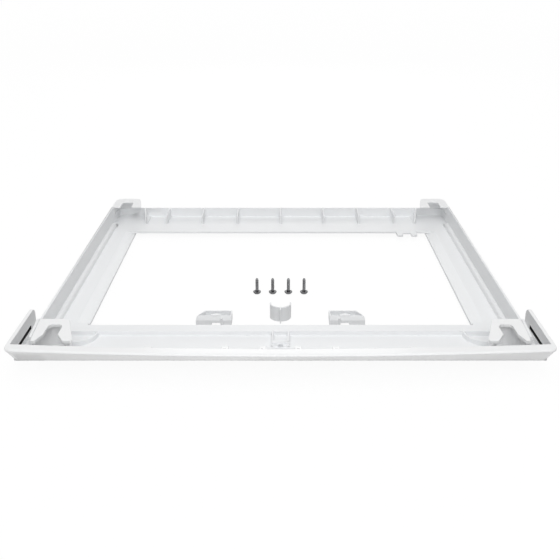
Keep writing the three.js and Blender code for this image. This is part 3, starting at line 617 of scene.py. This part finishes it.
# Reshaping CAD copies
def rounded_outline(corners):
    """Outline points from corners (x, y, radius), each rounded by a quadratic curve."""
    points = []
    for i, (x, y, radius) in enumerate(corners):
        here = Vector((x, y))
        inward = (Vector(corners[i - 1][:2]) - here).normalized()
        outward = (Vector(corners[(i + 1) % len(corners)][:2]) - here).normalized()
        set_back = radius / math.tan(inward.angle(outward) / 2)
        start, end = here + inward * set_back, here + outward * set_back
        steps = ROUNDING_STEPS if radius else 0
        for share in np.linspace(0.0, 1.0, steps + 1):
            points.append(start * (1 - share) ** 2 + here * 2 * share * (1 - share) + end * share ** 2)
    return points


def arc_points(middle, radius, start_degrees, end_degrees):
    x, y = middle
    angles = np.radians(np.linspace(start_degrees, end_degrees, ARC_STEPS + 1))
    return [(x + radius * math.cos(angle), y + radius * math.sin(angle)) for angle in angles]


def prism(outline, low, high, axis="Z"):
    """A closed mesh of an outline run between two values along Z, or of an outline in Y and Z along X."""
    mesh = bmesh.new()
    lower, upper = ([mesh.verts.new((a, b, level)) for a, b in outline] for level in (low, high))
    mesh.faces.new(lower)
    mesh.faces.new(upper)
    for i in range(len(outline)):
        mesh.faces.new((lower[i - 1], lower[i], upper[i], upper[i - 1]))
    if axis == "X":
        for corner in mesh.verts:
            corner.co = Vector((corner.co.z, corner.co.x, corner.co.y))
    bmesh.ops.recalc_face_normals(mesh, faces=mesh.faces)
    return mesh


def block(x_range, y_range, z_range):
    (x0, x1), (y0, y1) = x_range, y_range
    return prism([(x0, y0), (x1, y0), (x1, y1), (x0, y1)], *z_range)


def combine(mesh, tool, operation):
    """The mesh joined with or cut by a closed tool; both are used up."""
    for solid in (mesh, tool):
        bmesh.ops.triangulate(solid, faces=solid.faces)
    target = object_from(mesh, "Reshaped mesh")
    other = object_from(tool, "Shaping tool")
    modifier = target.modifiers.new("Shape", "BOOLEAN")
    modifier.operation = operation
    modifier.solver = "EXACT"
    modifier.object = other
    bpy.context.view_layer.update()
    shaped = target.evaluated_get(bpy.context.evaluated_depsgraph_get())
    result = bmesh.new()
    result.from_mesh(shaped.to_mesh())
    shaped.to_mesh_clear()
    for used in (target, other):
        data = used.data
        bpy.data.objects.remove(used)
        bpy.data.meshes.remove(data)
    return result


def reshape(mesh, steps):
    for operation, tool in steps:
        mesh = combine(mesh, tool, operation)
    return mesh


def bay_rib_steps(forms, side):
    """Takes the straight rib at one end of the front tray away and puts one that curves in its place."""
    inner = forms.half_width - forms.bay_width
    step = -forms.front + forms.front_tray_depth
    rise_end = -forms.front + forms.front_rise_depth
    wall_face = -forms.front + forms.wall
    height_at_wall = forms.front_floor + forms.front_rise * (1 - forms.wall / forms.front_rise_depth)
    over_rib = [
        (rise_end, forms.front_floor),
        (step, forms.front_floor),
        (step, forms.ledge + forms.overrun),
        (wall_face, forms.ledge + forms.overrun),
        (wall_face, height_at_wall),
    ]
    ends = sorted(side * (inner + extra) for extra in (-forms.gap, forms.rib_thickness + forms.gap))
    middle = (side * (inner + forms.bay_rib_radius), step - forms.bay_rib_set_forward)
    turn = (180.0, 270.0) if side > 0 else (0.0, -90.0)
    outer_face = arc_points(middle, forms.bay_rib_radius, *turn)
    inner_face = arc_points(middle, forms.bay_rib_radius - forms.rib_thickness, *turn)
    back = step + forms.wall / 2
    curve = [(outer_face[0][0], back), *outer_face, *reversed(inner_face), (inner_face[0][0], back)]
    return [
        ("DIFFERENCE", prism(over_rib, *ends, axis="X")),
        ("UNION", prism(curve, forms.front_floor - forms.wall / 2, forms.ledge)),
    ]


def rear_mark_steps(forms, side):
    """Closes one of the rear wall's screw holes, but for a shallow mark on the outer face."""
    x = side * forms.mark_place
    ring = arc_points((x, forms.mark_height), forms.plug_radius, 0.0, 360.0)[:-1]
    # The plug is laid down after its normals are set: set anew, they make the edge rounding lose a face
    plug = prism(ring, -(forms.rear - forms.mark_depth), -(forms.rear - forms.wall))
    for corner in plug.verts:
        corner.co = Vector((corner.co.x, -corner.co.z, corner.co.y))
    return [("UNION", plug)]


def tongue_steps(forms, side):
    """Swaps the thin tongue beside a foot holder for a thicker wall along the holder's slanting edge."""
    front, rear = -forms.front, -forms.front + forms.holder_reach
    outside = sorted(side * (forms.half_width + extra) for extra in (0.0, forms.overrun * 2))
    old = block(outside, (front - forms.overrun, rear + forms.overrun), (forms.wall, TOP + forms.overrun))
    seat = TOP - forms.holder_plate - forms.gap
    inset = forms.holder_inset * forms.holder_reach / forms.holder_length
    inner = forms.half_width + forms.gap
    outer = inner + forms.tongue_thickness
    middle = forms.half_width - forms.wall / 2

    def blade(front_inner, rear_inner):
        corners = ((front_inner, front), (outer - inset, front), (outer, rear), (rear_inner, rear))
        return [(side * x, y) for x, y in corners]

    return [
        ("DIFFERENCE", old),
        ("UNION", prism(blade(middle, middle), forms.tongue_bottom, seat)),
        ("UNION", prism(blade(inner - inset, inner), seat - forms.wall, TOP)),
    ]


def holder_steps(forms, side):
    """Swaps a foot holder's plate for one with slanting sides and a flared slot."""
    def at(distance):
        return side * (forms.half_width - distance)

    rear = -forms.front + forms.holder_reach
    front = rear - forms.holder_length
    slot_end = rear - forms.slot_rear_wall
    flare_end = front + forms.slot_flare_depth
    slot_inner = forms.slot_inset + forms.slot_half_width
    slot_outer = forms.slot_inset - forms.slot_half_width
    small, medium = forms.holder_corner / 3, forms.holder_corner / 2
    plate = rounded_outline([
        (at(forms.holder_inset), front, forms.holder_inset / 3),
        (at(0.0), rear, medium),
        (at(forms.holder_rear_width), rear, forms.holder_corner),
        (at(forms.holder_front_width), front, small),
        (at(slot_inner + forms.slot_flare_inner), front, medium),
        (at(slot_inner), flare_end, medium),
        (at(slot_inner), slot_end, forms.slot_end_radius),
        (at(slot_outer), slot_end, forms.slot_end_radius),
        (at(slot_outer), flare_end, medium),
        (at(slot_outer - forms.slot_flare_outer), front, forms.holder_inset / 3),
    ])
    reach = sorted((at(-forms.overrun), at(forms.holder_front_width + forms.overrun)))
    depth = (front - forms.overrun, rear + forms.overrun)
    bottom = TOP - forms.holder_plate
    return [
        ("DIFFERENCE", block(reach, depth, (bottom, TOP + forms.overrun))),
        ("UNION", prism(plate, bottom - forms.plate_overlap, TOP)),
    ]


def ear_slit_steps(forms, side):
    """Cuts the narrow shadow gap along the inside of one of the trim's ears."""
    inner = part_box("front_trim")[1].x - forms.ear_wall
    reach = sorted((side * (inner - forms.overrun), side * (inner + forms.slit_depth)))
    back = -forms.front + forms.slit_length
    heights = (forms.slit_bottom, forms.slit_bottom + forms.slit_height)
    return [("DIFFERENCE", block(reach, (-forms.front, back), heights))]


def bracket_steps(forms, side):
    """Deepens the notch under a lock bracket's screw boss."""
    middle = side * (forms.bracket_place - forms.bracket_boss_shift)
    front = -forms.bracket_front
    half = forms.bracket_notch_width / 2
    depth = (front - forms.overrun, front + forms.bracket_notch_depth)
    reach = (middle - half, middle + half)
    return [("DIFFERENCE", block(reach, depth, (-forms.overrun, forms.bracket_notch_height)))]


def hood_shell(forms, side):
    """A rear hood: a plate with a slot, on a skirt along the frame's outer and rear walls."""
    def at(distance):
        return side * (forms.half_width - distance)

    front = forms.rear - forms.hood_depth
    start = front - forms.overrun
    far = forms.hood_width + forms.overrun
    under_plate = TOP - forms.hood_plate
    cover = rounded_outline([
        (at(forms.hood_width), front, 0.0),
        (at(0.0), front, 0.0),
        (at(0.0), forms.rear, forms.hood_outer_corner),
        (at(forms.hood_rear_width), forms.rear, forms.hood_corner),
    ])
    room = rounded_outline([
        (at(far), start, 0.0),
        (at(forms.wall), start, 0.0),
        (at(forms.wall), forms.rear - forms.wall, forms.hood_outer_corner - forms.wall),
        (at(far), forms.rear - forms.wall, 0.0),
    ])
    middle = (at(forms.hood_slot_inset), front + forms.hood_slot_depth - forms.hood_slot_half_width)
    end = arc_points(middle, forms.hood_slot_half_width, 0.0, 180.0)
    slot = [(end[-1][0], start), (end[0][0], start), *end]
    return reshape(prism(cover, forms.hood_bottom, TOP), [
        ("DIFFERENCE", prism(room, forms.hood_bottom - forms.overrun, under_plate)),
        ("DIFFERENCE", prism(slot, under_plate - forms.overrun, TOP + forms.overrun)),
    ])


def moulded_piece(mesh, name, edge_radius):
    """A piece with rounded edges, tight ones with a smaller radius, kept inside the mesh's box."""
    places = np.array([corner.co for corner in mesh.verts])
    low, high = places.min(axis=0), places.max(axis=0)
    rounded = round_edges(mesh, edge_radius, LEAST_BEND, EDGE_SEGMENTS)
    finished = round_edges(rounded, edge_radius * TIGHT_SHARE, LEAST_TIGHT_BEND, TIGHT_SEGMENTS)
    for corner in finished.verts:
        corner.co = np.clip(corner.co, low, high)
    join_flat_faces(finished)
    piece = object_from(finished, name)
    weighted_normals(piece)
    return piece


# Operators
class KIT_OT_base_frame(bpy.types.Operator):
    """Rounds and finishes the large moulded base frame"""

    bl_idname = "stacking_kit.base_frame"
    bl_label = "Base frame"

    def execute(self, context):
        settings = context.scene.kit_plastic
        material = plastic_material("frame", settings.roughness)
        forms = context.scene.kit_forms
        steps = []
        for side in SIDES.values():
            steps += bay_rib_steps(forms, side) + rear_mark_steps(forms, side) + tongue_steps(forms, side)
        mesh = reshape(clean_copy("base_frame"), steps)
        piece = moulded_piece(mesh, "base_frame_moulding", settings.edge_radius)
        finish_piece(piece, "base_frame", "frame", material)
        return {"FINISHED"}


class KIT_OT_front_trim(bpy.types.Operator):
    """Rounds and finishes the bowed front trim"""

    bl_idname = "stacking_kit.front_trim"
    bl_label = "Front trim"

    def execute(self, context):
        settings = context.scene.kit_plastic
        material = plastic_material("trim", settings.trim_roughness)
        polish(material, settings)
        # Paints shade into the slits along the ears
        shade_slits(material)
        forms = context.scene.kit_forms
        slits = [step for side in SIDES.values() for step in ear_slit_steps(forms, side)]
        mesh = reshape(clean_copy("front_trim"), slits)
        piece = moulded_piece(mesh, "front_trim_panel", settings.edge_radius)
        finish_piece(piece, "front_trim", "frame", material)
        return {"FINISHED"}


class KIT_OT_foot_parts(bpy.types.Operator):
    """Rounds and finishes the foot holders and the rear hoods"""

    bl_idname = "stacking_kit.foot_parts"
    bl_label = "Foot holders and hoods"

    def execute(self, context):
        settings = context.scene.kit_plastic
        material = plastic_material("holder", settings.roughness)
        forms = context.scene.kit_forms
        for name, side in SIDES.items():
            holder = reshape(clean_copy(f"foot_holder_{name}"), holder_steps(forms, side))
            for mesh, kind in ((holder, "foot_holder"), (hood_shell(forms, side), "rear_hood")):
                piece = moulded_piece(mesh, f"{kind}_{name}_moulding", settings.holder_edge_radius)
                finish_piece(piece, f"{kind}_{name}", "frame", material)
        return {"FINISHED"}


class KIT_OT_loose_plastic(bpy.types.Operator):
    """Rounds and finishes the two lock brackets and the hose clip"""

    bl_idname = "stacking_kit.loose_plastic"
    bl_label = "Brackets and clip"

    def execute(self, context):
        settings = context.scene.kit_plastic
        material = plastic_material("loose", settings.roughness)
        forms = context.scene.kit_forms
        notches = {f"lock_bracket_{name}": bracket_steps(forms, side) for name, side in SIDES.items()}
        for node in (*notches, "hose_clip"):
            mesh = reshape(clean_copy(node), notches.get(node, []))
            piece = moulded_piece(mesh, f"{node}_moulding", settings.loose_edge_radius)
            finish_piece(piece, node, node, material)
        return {"FINISHED"}


class KIT_OT_grip_pads(bpy.types.Operator):
    """Rounds and finishes the rubber pads under the corners"""

    bl_idname = "stacking_kit.grip_pads"
    bl_label = "Grip pads"

    def execute(self, context):
        settings = context.scene.kit_rubber
        material = moulded_material("Pad rubber", settings.colour, settings.roughness, settings.grain, 0.0)
        for corner in ("front_left", "front_right", "rear_left", "rear_right"):
            node = f"grip_pad_{corner}"
            piece = moulded_piece(clean_copy(node), f"{node}_rubber", settings.edge_radius)
            finish_piece(piece, node, "frame", material)
        return {"FINISHED"}


class KIT_OT_screws(bpy.types.Operator):
    """Makes the four threaded screws that stand on their heads"""

    bl_idname = "stacking_kit.screws"
    bl_label = "Screws"

    def execute(self, context):
        settings = context.scene.kit_screws
        material = steel_material()
        for number in range(SCREW_COUNT):
            node = f"screw_{number + 1}"
            mesh = round_edges(clean_copy(node), settings.edge_radius, LEAST_BEND, HEAD_SEGMENTS)
            low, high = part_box(node)
            middle = (low + high) / 2
            self.cut_shank_off(mesh, settings)
            self.add_core(mesh, settings, middle, high.z)
            self.add_thread(mesh, settings, middle, high.z)
            self.close_up(mesh)
            finish_piece(object_from(mesh, f"{node}_steel"), node, node, material)
        return {"FINISHED"}

    def cut_shank_off(self, mesh, settings):
        """Leaves only the CAD screw's head, closed on top."""
        everything = [*mesh.verts, *mesh.edges, *mesh.faces]
        cut = bmesh.ops.bisect_plane(
            mesh, geom=everything, plane_co=(0.0, 0.0, settings.head_height), plane_no=(0.0, 0.0, 1.0),
            clear_outer=True,
        )
        rim = [part for part in cut["geom_cut"] if isinstance(part, bmesh.types.BMEdge)]
        bmesh.ops.contextual_create(mesh, geom=rim)

    def spin(self, mesh, outline, middle, turns, rise, closed):
        """Spins an outline of (radius, height) points about the screw's axis and returns its new corners."""
        settings = bpy.context.scene.kit_screws
        steps = round(settings.sides * turns)
        points = [mesh.verts.new((middle.x + radius, middle.y, height)) for radius, height in outline]
        lines = [mesh.edges.new(pair) for pair in zip(points, points[1:])]
        before = len(mesh.verts) - len(points)
        bmesh.ops.spin(
            mesh, geom=points + lines, cent=(middle.x, middle.y, 0.0), axis=(0.0, 0.0, 1.0),
            dvec=(0.0, 0.0, rise / steps), angle=math.tau * turns, steps=steps, use_merge=closed,
        )
        mesh.verts.ensure_lookup_table()
        return mesh.verts[before:]

    def add_core(self, mesh, settings, middle, top):
        foot = settings.head_height - settings.edge_radius
        outline = [
            (0.0, foot),
            (settings.crest_radius, foot),
            (settings.core_radius, foot + settings.neck_length),
            (settings.core_radius, top - settings.tip_length),
            (settings.tip_radius, top),
            (0.0, top),
        ]
        self.spin(mesh, outline, middle, turns=1, rise=0.0, closed=True)

    def add_thread(self, mesh, settings, middle, top):
        """A pointed ridge that winds up the core, low at its lower end and drawn in along the tip."""
        low = settings.head_height + settings.neck_length / 2
        inside = settings.core_radius - settings.edge_radius
        outline = [
            (inside, low),
            (settings.crest_radius, low + settings.thread_foot / 2),
            (inside, low + settings.thread_foot),
            (inside, low),
        ]
        rise = top - low - settings.thread_foot
        turns = rise / settings.thread_pitch
        ridge = self.spin(mesh, outline, middle, turns, rise, closed=False)
        for corner in ridge:
            self.draw_in(corner, settings, middle, low, top)

    def close_up(self, mesh):
        """Merges the poles and the thread's seam, closes the thread's ends and turns all faces outwards."""
        bmesh.ops.remove_doubles(mesh, verts=mesh.verts, dist=MERGE_DISTANCE)
        bmesh.ops.holes_fill(mesh, edges=[edge for edge in mesh.edges if edge.is_boundary])
        bmesh.ops.recalc_face_normals(mesh, faces=mesh.faces)

    def draw_in(self, corner, settings, middle, low, top):
        outward = Vector((corner.co.x - middle.x, corner.co.y - middle.y, 0.0))
        grown = min((corner.co.z - low) / settings.thread_fade, 1.0)
        along_tip = max((corner.co.z - (top - settings.tip_length)) / settings.tip_length, 0.0)
        if outward.length > settings.core_radius:
            outward.length = settings.core_radius + (outward.length - settings.core_radius) * grown
        shrunk = outward * (1.0 - along_tip * (1.0 - settings.tip_radius / settings.core_radius))
        corner.co.x = middle.x + shrunk.x
        corner.co.y = middle.y + shrunk.y


class KIT_OT_studio(bpy.types.Operator):
    """Sets the white floor, the soft light and the camera"""

    bl_idname = "stacking_kit.studio"
    bl_label = "Studio"

    def execute(self, context):
        settings = context.scene.kit_studio
        self.make_world(settings)
        self.make_floor(settings)
        for lamp in ("overhead", "key", "sheen"):
            self.make_lamp(settings, lamp)
        self.make_camera(settings)
        context.scene.view_settings.view_transform = "Standard"
        return {"FINISHED"}

    def make_world(self, settings):
        world = bpy.data.worlds.new("White surroundings")
        world.use_nodes = True
        tree = world.node_tree
        background = tree.nodes["Background"]
        background.inputs["Color"].default_value = grey(1.0)
        lit = math_node(tree, "MULTIPLY", seen_ray(tree), 1.0 - settings.sky_level)
        tree.links.new(math_node(tree, "ADD", lit, settings.sky_level), background.inputs["Strength"])
        bpy.context.scene.world = world

    def make_floor(self, settings):
        mesh = bmesh.new()
        bmesh.ops.create_grid(mesh, x_segments=1, y_segments=1, size=FLOOR_REACH)
        floor = object_from(mesh, "studio_floor")
        material, tree, shader = principled_material("Studio floor")
        shader.inputs["Roughness"].default_value = FLOOR_ROUGHNESS
        shader.inputs["Specular IOR Level"].default_value = FLOOR_SPECULAR
        bump = tree.nodes.new("ShaderNodeBump")
        bump.inputs["Distance"].default_value = FLOOR_GRAIN_DEPTH
        grain = noise_node(tree, object_place(tree), FLOOR_GRAIN_SCALE, detail=2.0)
        tree.links.new(grain, bump.inputs["Height"])
        tree.links.new(bump.outputs["Normal"], shader.inputs["Normal"])
        seen = seen_ray(tree)
        colour = mix_colours(tree, seen, grey(settings.floor_bounce), grey(1.0 - settings.floor_glow))
        tree.links.new(colour, shader.inputs["Base Color"])
        shader.inputs["Emission Color"].default_value = grey(1.0)
        glow = math_node(tree, "MULTIPLY", seen, settings.floor_glow)
        tree.links.new(glow, shader.inputs["Emission Strength"])
        floor.data.materials.append(material)

    def make_lamp(self, settings, kind):
        name = f"{kind.capitalize()} lamp"
        place = getattr(settings, f"{kind}_place")
        data = bpy.data.lights.new(name, "AREA")
        data.size = getattr(settings, f"{kind}_width")
        data.energy = getattr(settings, f"{kind}_power")
        lamp = bpy.data.objects.new(name, data)
        lamp.location = place
        lamp.rotation_euler = Vector(place).to_track_quat("Z", "Y").to_euler()
        bpy.context.scene.collection.objects.link(lamp)

    def make_camera(self, settings):
        data = bpy.data.cameras.new("Camera")
        data.sensor_width = SENSOR_WIDTH
        data.lens = settings.focal_length
        data.shift_x = -0.5 / PICTURE_WIDTH
        data.clip_start = NEAREST_SEEN
        camera = bpy.data.objects.new("Camera", data)
        camera.location = settings.camera_place
        camera.rotation_euler = (math.pi / 2 - settings.camera_pitch, 0.0, 0.0)
        bpy.context.scene.collection.objects.link(camera)
        bpy.context.scene.camera = camera


class KIT_PT_panel(bpy.types.Panel):
    bl_idname = "KIT_PT_panel"
    bl_label = "Stacking kit"
    bl_space_type = "VIEW_3D"
    bl_region_type = "UI"
    bl_category = "Stacking kit"

    def draw(self, context):
        for operator in PIECE_OPERATORS:
            self.layout.operator(operator.bl_idname)
        for group in SETTINGS:
            settings = getattr(context.scene, group)
            column = self.layout.column(align=True)
            for name in settings.__annotations__:
                column.prop(settings, name)


PIECE_OPERATORS = (
    KIT_OT_base_frame,
    KIT_OT_front_trim,
    KIT_OT_foot_parts,
    KIT_OT_loose_plastic,
    KIT_OT_grip_pads,
    KIT_OT_screws,
    KIT_OT_studio,
)
SETTINGS = {
    "kit_plastic": PlasticSettings,
    "kit_forms": FormSettings,
    "kit_rubber": RubberSettings,
    "kit_screws": ScrewSettings,
    "kit_studio": StudioSettings,
}


def register():
    for group, settings in SETTINGS.items():
        bpy.utils.register_class(settings)
        setattr(bpy.types.Scene, group, PointerProperty(type=settings))
    for cls in (*PIECE_OPERATORS, KIT_PT_panel):
        bpy.utils.register_class(cls)


def unregister():
    for cls in (KIT_PT_panel, *reversed(PIECE_OPERATORS)):
        bpy.utils.unregister_class(cls)
    for group, settings in reversed(SETTINGS.items()):
        delattr(bpy.types.Scene, group)
        bpy.utils.unregister_class(settings)


def corners(box):
    return [list(corner) for corner in box]


def main():
    register()
    for operator in PIECE_OPERATORS:
        module, name = operator.bl_idname.split(".")
        getattr(getattr(bpy.ops, module), name)()


if __name__ == "__main__":
    main()
